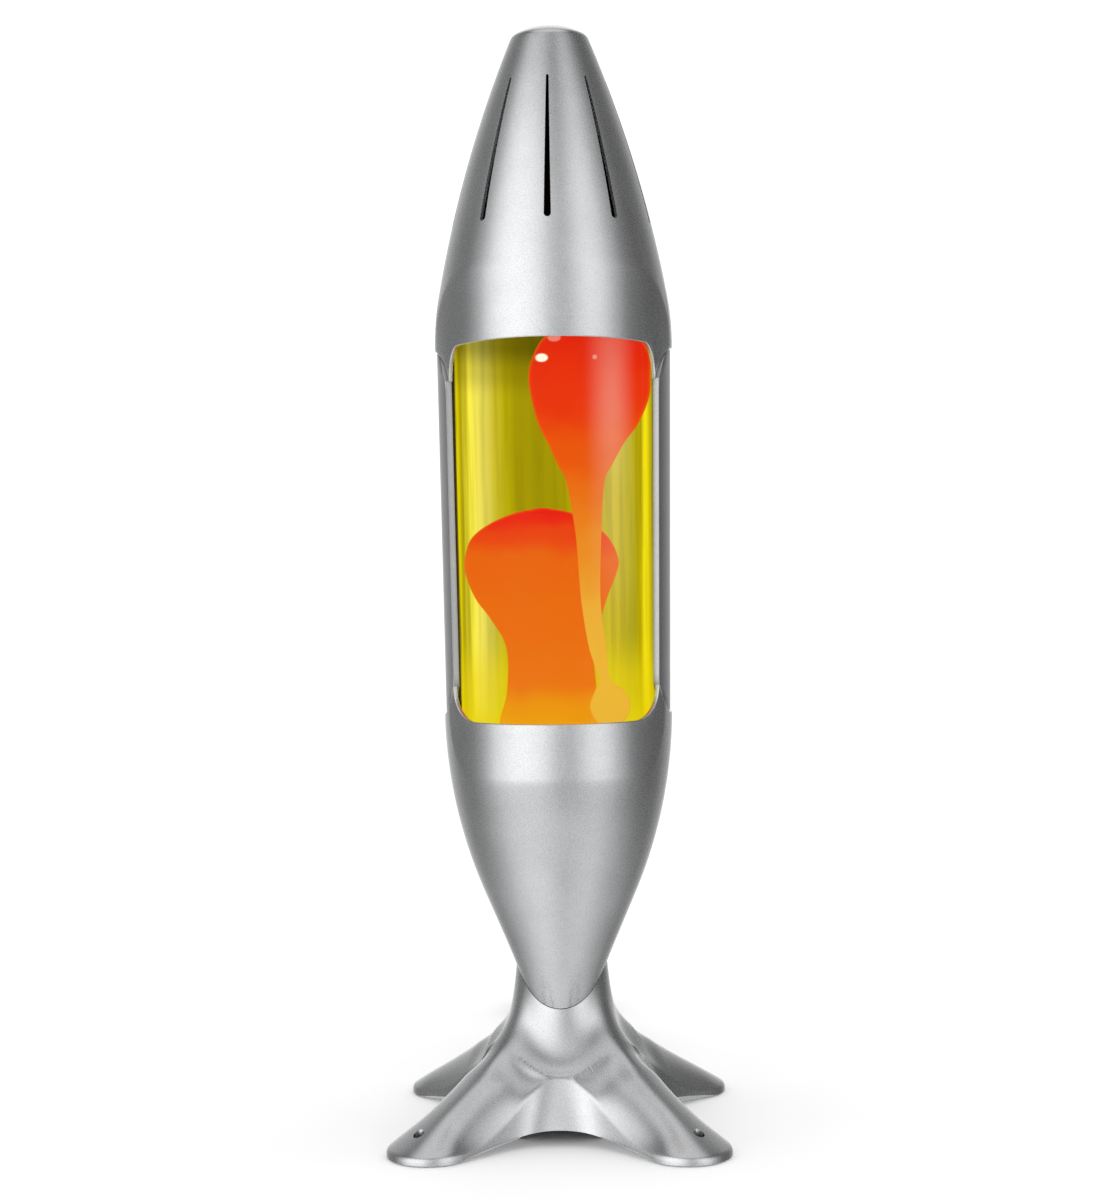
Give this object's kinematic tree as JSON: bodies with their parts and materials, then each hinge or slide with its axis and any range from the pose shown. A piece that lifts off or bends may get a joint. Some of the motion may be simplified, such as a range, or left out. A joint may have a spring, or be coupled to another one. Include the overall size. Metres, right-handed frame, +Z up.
{
  "type": "lava lamp",
  "caption": "Slender pointed metal lamp on a four-legged base, with a glass bottle of coloured wax and liquid between two side struts and a lift-off vented nose.",
  "frame": {"origin": "centre of the four-legged base on the ground", "axes": "+Z up along the lamp axis, -Y towards the front window, struts at +X and -X, mains lead lying towards +Y"},
  "size_m": [0.13, 0.303, 0.43],
  "materials": {
    "satin_silver": "fine satin silver",
    "strut_silver": "satin silver, slightly darker",
    "zinc_steel": "zinc plated steel",
    "brass": "turned brass",
    "ceramic": "unglazed off-white ceramic",
    "clear_glass": "clear polished glass",
    "yellow_liquid": "clear yellow liquid",
    "red_wax": "soft translucent wax, orange where it is lit from below",
    "black_rubber": "matt black rubber",
    "black_plastic": "fine textured black plastic",
    "cap_metal": "bare pressed aluminium"
  },
  "bodies": {
    "body": {"base_casting": "satin_silver", "bottle_seat": "black_rubber", "cord_gland": "black_plastic", "cord_guard": "black_plastic", "foot_pad_back_left": "black_rubber", "foot_pad_back_right": "black_rubber", "foot_pad_front_left": "black_rubber", "foot_pad_front_right": "black_rubber", "holder_bracket": "zinc_steel", "holder_screw_left": "zinc_steel", "holder_screw_right": "zinc_steel", "lamp_holder": "ceramic", "lamp_lead_live": "black_plastic", "lamp_lead_neutral": "black_plastic", "lower_shell": "satin_silver", "mains_cable_lamp_side": "black_rubber", "mains_cable_plug_side": "black_rubber", "plug_body": "black_plastic", "plug_pin_left": "brass", "plug_pin_right": "brass", "side_strut_left": "strut_silver", "side_strut_right": "strut_silver", "stem_nut_base": "zinc_steel", "stem_nut_bowl": "zinc_steel", "stem_nut_holder": "zinc_steel", "stem_tube": "brass", "stem_washer": "zinc_steel", "strut_screw_left_a": "zinc_steel", "strut_screw_left_b": "zinc_steel", "strut_screw_right_a": "zinc_steel", "strut_screw_right_b": "zinc_steel", "switch_housing_bottom": "black_plastic", "switch_housing_top": "black_plastic", "switch_screw_back": "zinc_steel", "switch_screw_front": "zinc_steel"},
    "bulb": {"bulb_base": "ceramic", "bulb_lens": "clear_glass", "bulb_pin_back": "brass", "bulb_pin_front": "brass", "bulb_reflector": "clear_glass"},
    "bottle": {"bottle_glass": "clear_glass", "liquid": "yellow_liquid", "wax_column": "red_wax", "wax_drop": "red_wax", "wire_coil": "zinc_steel", "bottle_cap": "cap_metal", "cap_liner": "black_rubber"},
    "nose_cap": {"top_shell": "satin_silver"},
    "rocker": {"switch_rocker": "black_plastic"}
  },
  "joints": [
    {"name": "bottle_lift", "type": "slide", "parent": "body", "child": "bottle", "axis": [0, 0, 1], "range_m": [0, 0.2]},
    {"name": "nose_lift", "type": "slide", "parent": "bottle", "child": "nose_cap", "axis": [0, 0, 1], "range_m": [0, 0.14]},
    {"name": "bulb_twist", "type": "hinge", "parent": "body", "child": "bulb", "pos_m": [0, 0, 0.0865], "axis": [0, 0, 1], "range_deg": [0, 30]},
    {"name": "rocker_press", "type": "hinge", "parent": "body", "child": "rocker", "pos_m": [0, 0.122, 0.0145], "axis": [1, 0, 0], "range_deg": [-14, 0]}
  ]
}
